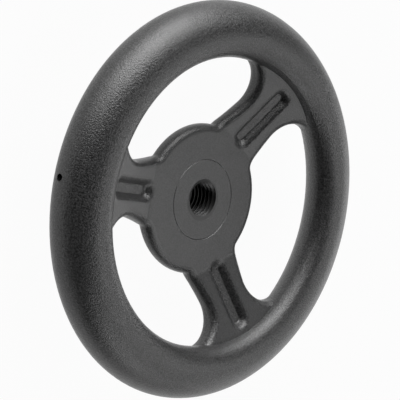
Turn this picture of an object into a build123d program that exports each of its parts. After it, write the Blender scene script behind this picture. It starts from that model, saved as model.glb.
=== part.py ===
from build123d import *
from math import asin, atan, cos, degrees, hypot, pi, radians, sin, sqrt, tan
import os

# Machine handwheel, moulded in one piece: an oval rim, three spokes that climb from the hub plate to
# the rim with a long slot in the front of each, and a hub with a threaded bore.
#
# Millimetres and degrees. The origin is on the spindle's axis at the back face of the hub, and +Z
# points to the front, towards the hand.

# Rim: an oval section whose long axis leans from inside front to outside back.
wheel_diameter = 160.0
rim_section_length = 23.6
rim_section_width = 18.3
rim_section_tilt = 35.0
rim_forward = 5.3               # from the hub face up to the centre of the rim's section

# Hub: a round plate with a boss behind it.
hub_diameter = 60.8
hub_length = 20.0
boss_diameter = 34.0
boss_root_round = 2.5
boss_edge_round = 1.0
hub_plate_thickness = 7.3
parting_land = 0.25             # flat strip that the mould leaves between the two rounds of an edge

# Threaded bore, M16, drawn at the thread's outer diameter.
bore_diameter = 16.0
bore_chamfer = 0.5

# Line of the mould's hub insert, a fine ring groove in the hub face.
insert_ring_diameter = 32.4
insert_ring_width = 0.5
insert_ring_depth = 0.25

# Spokes: waisted arms that flare into the rim.
spoke_count = 3
spoke_first_angle = 180.0
spoke_hub_width = 28.0
spoke_head_width = 21.0         # between the flanks where they would meet the ring
spoke_flank_radius = 108.0
spoke_hub_corner = 2.2
spoke_ring_seat = 1.7           # the flares run out on a ring this far outside the rim's inner wall
spoke_flare_share = 0.415       # the flares' radius as a share of the free length between hub and rim
spoke_tail_angle = 34.0         # the flares end here, inside the rim, measured from the middle of the spoke
spoke_tail_round = 4.0
spoke_bend_inset = 1.8          # from the hub plate's edge in to the line where the spoke starts to climb
spoke_bend_radius = 5.0
spoke_front_lift = 4.3          # the spoke's front meets the rim this far above the section's centre
spoke_back_drop = 4.9           # and its back this far below it
dish_overrun = 1.0              # the bent plate of the web is cut this far beyond the rim's centre
spoke_end_margin = 1.0          # edges of the web this near to the rim's centre are its ends and stay sharp

# Slot in the front of each spoke.
slot_floor_width = 3.8
slot_depth = 2.6
slot_draft = 40.0
slot_hub_inset = 2.4            # the slot starts this far inside the hub plate's edge
slot_rim_gap = 2.3              # and ends this far short of the rim's inner wall
slot_hub_corner = 1.6           # corner radii of the slot's floor; they grow with the draft
slot_rim_corner = 1.5
slot_floor_round = 0.8
slot_mouth_round = 3.2
slot_core_rise = 2.0            # the slot's core stands this far out of the spoke's front

# Blind needle hole in the outside of the rim, in line with the first spoke.
needle_hole_diameter = 2.9
needle_hole_depth = 6.0

# Worked out from the sizes above.
tilt_cos = cos(radians(rim_section_tilt))
tilt_sin = sin(radians(rim_section_tilt))
rim_half_reach = hypot(rim_section_length * tilt_cos, rim_section_width * tilt_sin) / 2
rim_centre_radius = wheel_diameter / 2 - rim_half_reach
rim_inner_radius = rim_centre_radius - rim_half_reach
rim_widest_drop = (rim_section_length**2 - rim_section_width**2) * tilt_cos * tilt_sin / rim_half_reach / 4
rim_centre_height = hub_length + rim_forward
hub_radius = hub_diameter / 2
hub_plate_back = hub_length - hub_plate_thickness
spoke_bend = hub_radius - spoke_bend_inset
spoke_climb_length = rim_inner_radius - spoke_bend
spoke_front_rise = (rim_centre_height + spoke_front_lift - hub_length) / spoke_climb_length
spoke_back_rise = (rim_centre_height - spoke_back_drop - hub_plate_back) / spoke_climb_length
spoke_slope = degrees(atan(spoke_front_rise))
edge_round = (hub_plate_thickness * cos(radians(spoke_slope)) - parting_land) / 2
spoke_ring_radius = rim_inner_radius + spoke_ring_seat
sector_half_width = rim_inner_radius * sin(pi / spoke_count)
rounding_limit = rim_centre_radius - spoke_end_margin
spoke_flare_radius = spoke_flare_share * (rim_inner_radius - hub_radius)


def make_needle():
    """The needle that leaves the blind hole in the rim, at the rim's widest line."""
    needle = Cylinder(needle_hole_diameter / 2, 2 * needle_hole_depth)
    mouth = Pos(wheel_diameter / 2, 0, rim_centre_height - rim_widest_drop)
    return Rot(0, 0, spoke_first_angle) * mouth * Rot(0, 90, 0) * needle


def make_rim():
    """The rim, its tilted oval section turned about the spindle's axis, with its needle hole."""
    centre = (rim_centre_radius, rim_centre_height)
    half_axes = (rim_section_length / 2, rim_section_width / 2)
    with BuildPart() as rim:
        with BuildSketch(Plane.XZ):
            with BuildLine():
                EllipticalCenterArc(centre, *half_axes, 0, arc_size=180, rotation=-rim_section_tilt)
                EllipticalCenterArc(centre, *half_axes, 180, arc_size=180, rotation=-rim_section_tilt)
            make_face()
        revolve(axis=Axis.Z)
    return rim.part - make_needle()


def spoke_outline():
    """One spoke seen from the front, along +X: waisted flanks that flare out onto a ring in the rim."""
    root = (sqrt(hub_radius**2 - (spoke_hub_width / 2) ** 2), spoke_hub_width / 2)
    tip = Vector(sqrt(spoke_ring_radius**2 - (spoke_head_width / 2) ** 2), spoke_head_width / 2)
    tip_angle = degrees(asin(tip.Y / spoke_ring_radius))
    with BuildSketch() as outline:
        with BuildLine():
            Polyline((0, 0), (0, root[1]), root)
            RadiusArc(root, tip, -spoke_flank_radius)
            ring = CenterArc((0, 0), spoke_ring_radius, tip_angle, spoke_tail_angle - tip_angle)
            end = CenterArc((0, 0), rim_centre_radius, 0, spoke_tail_angle)
            Line(ring @ 1, end @ 1)
            mirror(about=Plane.XZ)
        make_face()
        fillet(corners_at(outline, tip), spoke_flare_radius)
        fillet(corners_at(outline, ring @ 1), spoke_tail_round)
    return outline.sketch


def corners_at(outline, point):
    """The outline's corner at this point and its mirror image."""
    return outline.vertices().sort_by(lambda v: hypot(v.X - point.X, abs(v.Y) - point.Y))[:2]


def web_outline():
    """Hub plate and spokes seen from the front."""
    with BuildSketch() as outline:
        Circle(hub_radius)
        with PolarLocations(0, spoke_count, start_angle=spoke_first_angle):
            add(spoke_outline())
        corners = outline.vertices().filter_by(lambda v: abs(hypot(v.X, v.Y) - hub_radius) < 0.01)
        fillet(corners, spoke_hub_corner)
    return outline.sketch


def dish_line(start_height, rise, bend_radius):
    """Side view of one face of the web along a spoke: flat over the hub, then climbing to the rim."""
    reach = rim_centre_radius + dish_overrun
    end_height = start_height + (reach - spoke_bend) * rise
    corners = ((0, start_height), (spoke_bend, start_height), (reach, end_height))
    return FilletPolyline(*corners, radius=bend_radius)


def dish_section():
    """Side view of the web along one spoke, between its front and its back."""
    with BuildSketch(Plane.XZ) as section:
        with BuildLine():
            front = dish_line(hub_length, spoke_front_rise, spoke_bend_radius)
            back = dish_line(hub_plate_back, spoke_back_rise, spoke_bend_radius + hub_plate_thickness)
            Line(front @ 0, back @ 0)
            Line(front @ 1, back @ 1)
        make_face()
    return section.sketch


def slot_outline(height):
    """The slot's outline in the plane of the spoke's front, `height` above the slot's floor."""
    growth = height * tan(radians(slot_draft))
    mouth_growth = slot_depth * tan(radians(slot_draft))
    start = (hub_radius - slot_hub_inset - spoke_bend) / cos(radians(spoke_slope)) + mouth_growth - growth
    end = (rim_inner_radius - slot_rim_gap - spoke_bend) / cos(radians(spoke_slope)) - mouth_growth + growth
    with BuildSketch(Plane.XY.offset(height - slot_depth)) as outline:
        with Locations(((start + end) / 2, 0)):
            Rectangle(end - start, slot_floor_width + 2 * growth)
        fillet(outline.vertices().group_by(Axis.X)[0], slot_hub_corner + growth)
        fillet(outline.vertices().group_by(Axis.X)[-1], slot_rim_corner + growth)
    return outline.sketch


def make_slot_core():
    """The drafted core that leaves the slot in the front of the spoke along +X."""
    with BuildPart() as core:
        loft([slot_outline(0), slot_outline(slot_depth + slot_core_rise)], ruled=True)
        fillet(core.faces().sort_by(Axis.Z)[0].edges(), slot_floor_round)
    spoke_front = Plane(origin=(spoke_bend, 0, hub_length)).rotated((0, -spoke_slope, 0))
    return spoke_front * core.part


def make_dish():
    """A wide bent plate with one spoke's climb and slot, the slot's mouth rounded over."""
    plate = extrude(dish_section(), amount=sector_half_width, both=True)
    core = make_slot_core()
    slotted = plate - core
    return fillet(new_edges(plate, core, combined=slotted), slot_mouth_round)


def make_web():
    """Hub plate and spokes as one dished plate, its outline rounded all along front and back."""
    dish = make_dish()
    with BuildPart() as web:
        with PolarLocations(0, spoke_count, start_angle=spoke_first_angle):
            add(dish)
        extrude(web_outline(), amount=wheel_diameter, mode=Mode.INTERSECT)
        walls = web.faces().filter_by(lambda f: abs(f.normal_at().Z) < 0.001)
        outline = walls.edges().filter_by(lambda e: abs(e.tangent_at(0.5).Z) < 0.9)
        fillet(outline.filter_by(lambda e: hypot((e @ 0.5).X, (e @ 0.5).Y) < rounding_limit), edge_round)
    return web.part


def make_insert_ring():
    """The ridge of the mould's hub insert, which leaves the fine ring groove in the hub face."""
    half_width = insert_ring_width / 2
    with BuildPart() as ridge:
        with BuildSketch(Plane.XZ):
            with Locations((insert_ring_diameter / 2, hub_length)):
                Polygon((-half_width, 0), (0, -insert_ring_depth), (half_width, 0), align=None)
        revolve(axis=Axis.Z)
    return ridge.part


def ring_edges(body, diameter, height):
    """The round edges of `body` about the spindle's axis that have this diameter and height."""
    circles = body.edges().filter_by(GeomType.CIRCLE)
    same_size = circles.filter_by(lambda e: abs(e.radius - diameter / 2) < 0.001)
    return same_size.filter_by(lambda e: abs(e.arc_center.Z - height) < 0.001)


def make_hub_and_web():
    """Hub plate, spokes and boss: rounded outside, bored through, with the insert's ring in its face."""
    boss = Cylinder(boss_diameter / 2, hub_plate_back, align=(Align.CENTER, Align.CENTER, Align.MIN))
    body = make_web() + boss
    body = fillet(ring_edges(body, boss_diameter, hub_plate_back), boss_root_round)
    body = fillet(ring_edges(body, boss_diameter, 0), boss_edge_round)
    body -= Cylinder(bore_diameter / 2, hub_length, align=(Align.CENTER, Align.CENTER, Align.MIN))
    mouths = ring_edges(body, bore_diameter, 0) + ring_edges(body, bore_diameter, hub_length)
    body = chamfer(mouths, bore_chamfer)
    return body - make_insert_ring()


def make_wheel():
    """The whole wheel: hub and spokes with the rim round them, as one body."""
    return make_hub_and_web() + make_rim()


handwheel = make_wheel()
os.makedirs("parts", exist_ok=True)
export_step(handwheel, "parts/handwheel.step")
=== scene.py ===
"""Looks of a dished machine handwheel, moulded in black plastic, with a thread in its bore.

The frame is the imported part's own, in metres: the origin lies on the spindle's axis at the back of
the hub, and +Z points out of the front of the wheel. Sizes whose names end in ``_mm`` are
millimetres.
"""

import logging
import math
from dataclasses import dataclass, field

import bpy
import numpy as np
from mathutils import Matrix, Vector


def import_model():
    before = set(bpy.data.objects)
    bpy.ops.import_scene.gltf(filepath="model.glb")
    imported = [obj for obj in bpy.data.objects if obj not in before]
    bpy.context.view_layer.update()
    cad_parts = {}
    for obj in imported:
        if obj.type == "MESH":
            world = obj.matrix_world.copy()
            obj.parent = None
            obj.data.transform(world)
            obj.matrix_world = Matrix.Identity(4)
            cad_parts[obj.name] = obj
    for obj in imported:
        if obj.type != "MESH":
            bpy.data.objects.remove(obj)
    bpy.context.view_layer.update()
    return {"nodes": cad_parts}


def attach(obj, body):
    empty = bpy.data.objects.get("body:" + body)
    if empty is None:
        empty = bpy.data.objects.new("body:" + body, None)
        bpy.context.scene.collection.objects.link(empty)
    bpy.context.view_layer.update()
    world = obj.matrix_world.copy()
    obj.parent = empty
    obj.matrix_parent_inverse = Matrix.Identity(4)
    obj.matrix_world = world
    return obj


MM = 0.001
SHARP_FOLD = math.radians(35.0)

Colour = tuple[float, float, float, float]
Point = tuple[float, float, float]
Fade = tuple[float, float]

WHITE: Colour = (1.0, 1.0, 1.0, 1.0)

log = logging.getLogger("handwheel")


class Value:
    """A number in a node tree. Python's operators on it add Math nodes."""

    def __init__(self, shader: "Shader", socket: bpy.types.NodeSocket) -> None:
        """Wraps a socket.

        Args:
            shader: the node tree that the socket belongs to.
            socket: an output that carries a number.
        """
        self.shader = shader
        self.socket = socket

    def math(self, operation: str, *operands: "Value | float") -> "Value":
        """Adds one Math node.

        Args:
            operation: the Math node's operation.
            operands: what goes into its sockets, in order.

        Returns:
            The node's result.
        """
        inputs = dict(enumerate(operands))
        return self.shader.value("ShaderNodeMath", {"operation": operation}, inputs, "Value")

    def __add__(self, other: "Value | float") -> "Value":
        """self + other."""
        return self.math("ADD", self, other)

    def __radd__(self, other: float) -> "Value":
        """other + self."""
        return self.math("ADD", other, self)

    def __sub__(self, other: "Value | float") -> "Value":
        """self - other."""
        return self.math("SUBTRACT", self, other)

    def __rsub__(self, other: float) -> "Value":
        """other - self."""
        return self.math("SUBTRACT", other, self)

    def __mul__(self, other: "Value | float") -> "Value":
        """self * other."""
        return self.math("MULTIPLY", self, other)

    def __rmul__(self, other: float) -> "Value":
        """other * self."""
        return self.math("MULTIPLY", other, self)

    def at_least(self, other: "Value | float") -> "Value":
        """The larger of self and other."""
        return self.math("MAXIMUM", self, other)

    def root(self) -> "Value":
        """The square root."""
        return self.math("SQRT", self)

    def step(self, low: float, high: float) -> "Value":
        """Climbs smoothly from 0 at low to 1 at high, whichever of the two is larger.

        Args:
            low: where the result is 0.
            high: where the result is 1.

        Returns:
            The eased share of the way from low to high.
        """
        settings = {"interpolation_type": "SMOOTHSTEP", "clamp": True}
        inputs = {"Value": self, "From Min": low, "From Max": high}
        if low > high:
            inputs.update({"From Min": high, "From Max": low, "To Min": 1.0, "To Max": 0.0})
        return self.shader.value("ShaderNodeMapRange", settings, inputs, "Result")


class Shader:
    """One material's node tree, built node by node."""

    FINER_LAYERS = 2.0
    NOISE_MIDDLE = 0.5
    FIRST_COLOUR, SECOND_COLOUR, MIXED_COLOUR = 6, 7, 2

    def __init__(self, name: str) -> None:
        """Makes an empty material.

        Args:
            name: the material's name.
        """
        self.material = bpy.data.materials.new(name)
        self.material.use_nodes = True
        self.tree = self.material.node_tree
        self.tree.nodes.clear()

    def node(
        self, kind: str, settings: dict | None = None, inputs: dict | None = None
    ) -> bpy.types.Node:
        """Adds a node, sets it up and fills its sockets.

        Args:
            kind: the node's type.
            settings: its properties, which are set first.
            inputs: its sockets by name or number, each with a constant, a Value or another
                node's socket.

        Returns:
            The new node.
        """
        node = self.tree.nodes.new(kind)
        for name, setting in (settings or {}).items():
            setattr(node, name, setting)
        for key, source in (inputs or {}).items():
            if isinstance(source, Value):
                self.tree.links.new(source.socket, node.inputs[key])
            elif isinstance(source, bpy.types.NodeSocket):
                self.tree.links.new(source, node.inputs[key])
            else:
                node.inputs[key].default_value = source
        return node

    def value(self, kind: str, settings: dict, inputs: dict, output: str) -> Value:
        """Adds a node and wraps one of its outputs.

        Args:
            kind: the node's type.
            settings: its properties.
            inputs: its sockets' values or links.
            output: the output's name.

        Returns:
            That output, ready for more maths.
        """
        return Value(self, self.node(kind, settings, inputs).outputs[output])

    def axes(self, vector: bpy.types.NodeSocket) -> tuple[Value, Value, Value]:
        """The three parts of a vector."""
        x, y, z = self.node("ShaderNodeSeparateXYZ", inputs={"Vector": vector}).outputs
        return Value(self, x), Value(self, y), Value(self, z)

    def noise(self, place: bpy.types.NodeSocket, lump_mm: float, finer_share: float) -> Value:
        """Soft noise on the object's own coordinates, with a few finer layers.

        Args:
            place: the Object coordinates.
            lump_mm: the size of one lump.
            finer_share: how strong each finer layer is against the one before.

        Returns:
            The noise, mostly within 0.2 of its middle.
        """
        inputs = {
            "Vector": place,
            "Scale": 1.0 / (lump_mm * MM),
            "Detail": self.FINER_LAYERS,
            "Roughness": finer_share,
        }
        return self.value("ShaderNodeTexNoise", {}, inputs, "Fac")

    def blend(self, share: Value, first: Colour, second: Colour) -> bpy.types.NodeSocket:
        """Mixes two colours.

        Args:
            share: 0 for the first colour, 1 for the second.
            first: a colour.
            second: another colour.

        Returns:
            The mixed colour's socket.
        """
        inputs = {"Factor": share, self.FIRST_COLOUR: first, self.SECOND_COLOUR: second}
        return self.node("ShaderNodeMix", {"data_type": "RGBA"}, inputs).outputs[self.MIXED_COLOUR]

    def finish(self, surface: bpy.types.NodeSocket) -> bpy.types.Material:
        """Connects the surface to the output and hands back the material."""
        self.node("ShaderNodeOutputMaterial", inputs={"Surface": surface})
        return self.material


@dataclass(frozen=True)
class MouldedPlastic:
    """Black plastic as it leaves the mould: finely eroded, almost smooth on the front faces.

    A tone is a share of the way from the pits' colour to the crests' colour. A Fade holds the two
    values between which a mask climbs from 0 to 1.
    """

    pit_colour: Colour = (0.006, 0.006, 0.006, 1.0)
    crest_colour: Colour = (0.080, 0.080, 0.081, 1.0)
    grain_tone: float = 0.30
    face_tone: float = 0.34
    speckle: float = 2.2
    grain_roughness: float = 0.32
    face_roughness: float = 0.38
    roughness_spread: float = 0.10
    specular: float = 0.62
    grain_mm: float = 0.6
    grain_finer_share: float = 0.6
    grain_depth_mm: float = 0.20
    face_grain_share: float = 0.4
    cloud_mm: float = 9.0
    cloud_finer_share: float = 0.5
    face_upright: Fade = (0.90, 0.945)
    face_sunk_mm: Fade = (0.2, 0.5)
    face_end_mm: Fade = (57.0, 58.5)
    # How much lighter the insert ring's groove is painted: painted light against the groove's shade.
    ring_painted_light: float = 0.35
    ring_depth_mm: float = 0.5
    ring_half_width_mm: float = 0.25
    ring_fade_mm: float = 0.1

    def dress(self, name: str, sizes: "WheelSizes") -> bpy.types.Material:
        """Builds the material.

        Args:
            name: the material's name.
            sizes: the wheel's sizes, which tell where the faces and the ring lie.

        Returns:
            The material.
        """
        shader = Shader(name)
        coordinates = shader.node("ShaderNodeTexCoord")
        place = coordinates.outputs["Object"]
        face = self.face_mask(shader, coordinates, sizes)
        grained = 1.0 - face * (1.0 - self.face_grain_share)
        fine = shader.noise(place, self.grain_mm, self.grain_finer_share)
        cloud = shader.noise(place, self.cloud_mm, self.cloud_finer_share)
        roughness = self.grain_roughness + face * (self.face_roughness - self.grain_roughness)
        depth = self.grain_depth_mm * MM
        bump = shader.node(
            "ShaderNodeBump", inputs={"Strength": 1.0, "Distance": depth, "Height": fine * grained}
        )
        tone = self.grain_tone + face * (self.face_tone - self.grain_tone)
        tone = tone + (fine - Shader.NOISE_MIDDLE) * grained * self.speckle
        # Painted light: the insert ring's groove is painted lighter to offset the shade that falls
        # in it.
        tone = tone + self.painted_light_ring_mask(shader, place, sizes) * self.ring_painted_light
        surface = shader.node(
            "ShaderNodeBsdfPrincipled",
            inputs={
                "Base Color": shader.blend(tone, self.pit_colour, self.crest_colour),
                "Roughness": roughness + (cloud - Shader.NOISE_MIDDLE) * self.roughness_spread,
                "Specular IOR Level": self.specular,
                "Normal": bump.outputs["Normal"],
            },
        )
        return shader.finish(surface.outputs["BSDF"])

    def painted_light_ring_mask(
        self, shader: Shader, place: bpy.types.NodeSocket, sizes: "WheelSizes"
    ) -> Value:
        """Marks the fine ring that the mould's insert leaves in the hub face, which is painted
        lighter: painted light against the shade in its groove.

        Args:
            shader: the material's node tree.
            place: the Object coordinates.
            sizes: the wheel's sizes.

        Returns:
            1 in the ring, 0 elsewhere.
        """
        x, y, z = (part * (1.0 / MM) for part in shader.axes(place))
        radius = (x * x + y * y).root()
        inner = sizes.ring_radius_mm - self.ring_half_width_mm
        outer = sizes.ring_radius_mm + self.ring_half_width_mm
        bottom = sizes.hub_length_mm - self.ring_depth_mm
        outside = radius.step(outer, outer + self.ring_fade_mm)
        inside = radius.step(inner, inner - self.ring_fade_mm)
        return (1.0 - outside) * (1.0 - inside) * z.step(bottom, bottom + self.ring_fade_mm)

    def face_mask(self, shader: Shader, coordinates: bpy.types.Node, sizes: "WheelSizes") -> Value:
        """Marks the front faces of the hub and the spokes.

        They are told from the rest by their steep normal, by their height and by their distance
        from the axis: a point of a face lies in the front plane of the hub or of the nearest spoke.

        Args:
            shader: the material's node tree.
            coordinates: the Texture Coordinate node.
            sizes: the wheel's sizes.

        Returns:
            1 on the front faces, 0 on the rim, the rolled edges and in the slots.
        """
        x, y, z = (part * (1.0 / MM) for part in shader.axes(coordinates.outputs["Object"]))
        upright = shader.axes(coordinates.outputs["Normal"])[2].step(*self.face_upright)
        along = [x * math.cos(angle) + y * math.sin(angle) for angle in sizes.spoke_angles()]
        reach = along[0].at_least(along[1]).at_least(along[2])
        climb = (reach - sizes.spoke_bend_mm).at_least(0.0) * sizes.spoke_rise
        sunk = (sizes.hub_length_mm + climb - z).step(*self.face_sunk_mm)
        beyond = (x * x + y * y).root().step(*self.face_end_mm)
        return upright * (1.0 - sunk) * (1.0 - beyond)


@dataclass(frozen=True)
class WheelSizes:
    """The moulded wheel's own sizes that its finish and its thread are placed by."""

    hub_length_mm: float = 20.0
    bore_radius_mm: float = 8.0
    bore_chamfer_mm: float = 0.5
    ring_radius_mm: float = 16.2
    spoke_count: int = 3
    spoke_first_angle: float = math.pi
    spoke_bend_mm: float = 28.6
    spoke_rise: float = 0.3265

    def spoke_angles(self) -> list[float]:
        """The spokes' directions about the spindle's axis."""
        pitch = 2 * math.pi / self.spoke_count
        return [self.spoke_first_angle + spoke * pitch for spoke in range(self.spoke_count)]


@dataclass(frozen=True)
class HubThread:
    """The bore's screw thread: one ridge that winds up the wall of the bore, right-handed."""

    sizes: WheelSizes
    pitch_mm: float = 2.0
    crest_radius_mm: float = 6.92
    crest_width_mm: float = 0.5
    crest_round_mm: float = 0.1
    root_width_mm: float = 0.25
    wall_overlap_mm: float = 0.05
    end_gap_mm: float = 0.02
    steps_per_turn: int = 96
    mouth_angle: float = math.radians(285.0)

    def profile(self) -> tuple[np.ndarray, np.ndarray]:
        """The ridge's section, from root over flank and crest to root.

        Returns:
            The heights along the axis and the radii, in millimetres.
        """
        foot = (self.pitch_mm - self.root_width_mm) / 2
        edge = self.crest_width_mm / 2
        flat = edge - self.crest_round_mm
        wall = self.sizes.bore_radius_mm + self.wall_overlap_mm
        crest = self.crest_radius_mm
        shoulder = crest + self.crest_round_mm
        heights = np.array([-foot, -edge, -flat, flat, edge, foot])
        return heights, np.array([wall, shoulder, crest, crest, shoulder, wall])

    def wall_radius(self, height: np.ndarray) -> np.ndarray:
        """How far out the ridge's feet lie: just inside the bore's wall or a mouth's chamfer.

        Args:
            height: places along the axis, in millimetres.

        Returns:
            The radius at each place.
        """
        depth = np.minimum(height, self.sizes.hub_length_mm - height)
        chamfer = self.sizes.bore_radius_mm + self.sizes.bore_chamfer_mm - depth
        return np.maximum(self.sizes.bore_radius_mm, chamfer) + self.wall_overlap_mm

    def build(self) -> bpy.types.Object:
        """Makes the ridge, cut off flat at the hub's two faces.

        A point's angle is its turn about the axis, and its height is the pitch times the turns plus
        its height in the section. Points beyond a face are drawn back onto it along the section's
        outline, and the outermost of them closes the cut.

        Returns:
            The thread's object.
        """
        length = self.sizes.hub_length_mm
        turns = length / self.pitch_mm
        heights, radii = self.profile()
        beyond = (heights[-1] - 2 * self.end_gap_mm) / self.pitch_mm
        steps = int((turns + 2 * beyond) * self.steps_per_turn) + 1
        turn = np.linspace(-beyond, turns + beyond, steps)[:, None]
        height = np.clip(turn * self.pitch_mm + heights, self.end_gap_mm, length - self.end_gap_mm)
        radius = np.interp(height - turn * self.pitch_mm, heights, radii)
        radius[:, [0, -1]] = self.wall_radius(height[:, [0, -1]])
        angle = self.mouth_angle + 2 * math.pi * (turn - turns)
        points = np.stack([radius * np.cos(angle), radius * np.sin(angle), height], axis=-1)
        return grid_piece("hub_thread", points * MM)


def grid_piece(name: str, points: np.ndarray) -> bpy.types.Object:
    """Makes a mesh of quads from a grid of points.

    Args:
        name: the piece's name.
        points: the grid, shaped rows x columns x 3, in metres. Its rows run so that row x column
            turns out of the material.

    Returns:
        The new object, at the origin.
    """
    rows, columns = points.shape[:2]
    index = np.arange(rows * columns).reshape(rows, columns)
    quads = np.stack([index[:-1, :-1], index[1:, :-1], index[1:, 1:], index[:-1, 1:]], axis=-1)
    mesh = bpy.data.meshes.new(name)
    mesh.from_pydata(points.reshape(-1, 3), [], quads.reshape(-1, 4))
    mesh.shade_smooth()
    mesh.set_sharp_from_angle(angle=SHARP_FOLD)
    piece = bpy.data.objects.new(name, mesh)
    bpy.context.scene.collection.objects.link(piece)
    return piece


@dataclass(frozen=True)
class Viewpoint:
    """Where the wheel is seen from."""

    place: Point = (-0.545447, 0.022713, 0.546525)
    aim: Point = (0.009322, -0.000697, 0.009487)
    up: Point = (-0.10866, 0.98192, -0.15506)
    lens_mm: float = 170.844
    sensor_mm: float = 36.0

    def set_up(self) -> None:
        """Makes the camera and gives it to the scene."""
        data = bpy.data.cameras.new("camera")
        data.lens = self.lens_mm
        data.sensor_width = self.sensor_mm
        camera = bpy.data.objects.new("camera", data)
        bpy.context.scene.collection.objects.link(camera)
        back = (Vector(self.place) - Vector(self.aim)).normalized()
        right = Vector(self.up).cross(back).normalized()
        turn = Matrix((right, back.cross(right), back)).transposed().to_4x4()
        camera.matrix_world = Matrix.Translation(self.place) @ turn
        bpy.context.scene.camera = camera


@dataclass(frozen=True)
class SoftBox:
    """A square lamp that faces the wheel.

    Its azimuth and elevation, in degrees, are its direction from the frame's origin. At a strength
    of 1 it lights a white page that faces it to white.
    """

    name: str
    azimuth: float
    elevation: float
    strength: float
    distance: float = 2.0
    side: float = 1.0

    def place(self) -> Vector:
        """Where the lamp hangs."""
        azimuth, elevation = math.radians(self.azimuth), math.radians(self.elevation)
        x, y = math.cos(azimuth) * math.cos(elevation), math.sin(azimuth) * math.cos(elevation)
        return self.distance * Vector((x, y, math.sin(elevation)))

    def hang(self) -> None:
        """Makes the lamp."""
        data = bpy.data.lights.new(self.name, "AREA")
        data.shape = "SQUARE"
        data.size = self.side
        data.energy = self.strength * (math.pi * self.distance) ** 2
        lamp = bpy.data.objects.new(self.name, data)
        bpy.context.scene.collection.objects.link(lamp)
        place = self.place()
        turn = place.to_track_quat("Z", "Y").to_matrix().to_4x4()
        lamp.matrix_world = Matrix.Translation(place) @ turn


@dataclass
class Studio:
    """A floor under an almost dark sky, with soft boxes round the wheel."""

    floor_side: float = 6.0
    floor_drop: float = 0.0002
    floor_colour: Colour = (0.35, 0.35, 0.35, 1.0)
    shadow_share: float = 0.04
    sky_strength: float = 0.01
    lamps: list[SoftBox] = field(default_factory=lambda: [
        SoftBox("upper_key", azimuth=105.0, elevation=30.0, strength=0.62),
        SoftBox("upper_side_key", azimuth=75.0, elevation=30.0, strength=0.30),
        SoftBox("upper_rim_light", azimuth=90.0, elevation=8.0, strength=0.53),
        SoftBox("left_rim_light", azimuth=130.0, elevation=16.0, strength=0.38),
        SoftBox("right_rim_light", azimuth=0.0, elevation=8.0, strength=0.18),
        SoftBox("lower_right_rim_light", azimuth=330.0, elevation=8.0, strength=0.13),
        SoftBox("lower_fill", azimuth=285.0, elevation=30.0, strength=0.25),
        SoftBox("lower_right_fill", azimuth=315.0, elevation=55.0, strength=0.16),
        SoftBox("right_fill", azimuth=0.0, elevation=55.0, strength=0.15),
    ])

    def build(self) -> None:
        """Makes the floor, the sky and the lamps."""
        self.lay_floor()
        self.light_sky()
        for lamp in self.lamps:
            lamp.hang()

    def lay_floor(self) -> None:
        """Makes the floor, white to the camera but for a trace of the wheel's shadow."""
        half = self.floor_side / 2
        square = ((-half, -half), (half, -half), (half, half), (-half, half))
        mesh = bpy.data.meshes.new("floor")
        mesh.from_pydata([(x, y, -self.floor_drop) for x, y in square], [], [(0, 1, 2, 3)])
        floor = bpy.data.objects.new("floor", mesh)
        bpy.context.scene.collection.objects.link(floor)
        shader = Shader("floor_paper")
        paper = shader.node("ShaderNodeBsdfDiffuse", inputs={"Color": self.floor_colour})
        white = shader.node("ShaderNodeEmission", inputs={"Color": WHITE, "Strength": 1.0})
        share = self.seen(shader) * (1.0 - self.shadow_share)
        mix = shader.node(
            "ShaderNodeMixShader", inputs={0: share, 1: paper.outputs[0], 2: white.outputs[0]}
        )
        mesh.materials.append(shader.finish(mix.outputs[0]))

    @staticmethod
    def seen(shader: Shader) -> Value:
        """1 for rays that show the background: the camera's, a reflection's or a transmission's."""
        path = shader.node("ShaderNodeLightPath")
        names = ("Is Camera Ray", "Is Glossy Ray", "Is Transmission Ray")
        camera, glossy, through = (Value(shader, path.outputs[name]) for name in names)
        return camera.at_least(glossy).at_least(through)

    def light_sky(self) -> None:
        """Sheds a little light evenly from all round."""
        world = bpy.data.worlds.new("sky")
        world.use_nodes = True
        background = world.node_tree.nodes["Background"]
        background.inputs["Color"].default_value = WHITE
        background.inputs["Strength"].default_value = self.sky_strength
        bpy.context.scene.world = world


def report(piece: bpy.types.Object) -> None:
    """Logs a finished piece and its triangles."""
    piece.data.calc_loop_triangles()
    log.info("%s: %d triangles", piece.name, len(piece.data.loop_triangles))


def main() -> None:
    """Builds the wheel's looks and its studio."""
    logging.basicConfig(level=logging.INFO, format="%(name)s: %(message)s")
    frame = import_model()
    bpy.context.scene.view_settings.view_transform = "Standard"

    sizes = WheelSizes()
    plastic = MouldedPlastic().dress("moulded_plastic", sizes)
    # The thread is the wheel's own plastic, painted much darker (grain_tone 0.12): painted shade for
    # the shadow inside the bore.
    shaded_bore_plastic = MouldedPlastic(
        grain_tone=0.12, grain_roughness=0.4, specular=0.4, speckle=0.3, grain_depth_mm=0.02
    ).dress("bore_painted_shade_plastic", sizes)
    wheel = frame["nodes"]["handwheel"]
    for slot in wheel.material_slots:
        slot.material = plastic
    report(wheel)

    thread = HubThread(sizes).build()
    thread.data.materials.append(shaded_bore_plastic)
    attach(thread, "root")
    report(thread)

    Studio().build()
    Viewpoint().set_up()


if __name__ == "__main__":
    main()
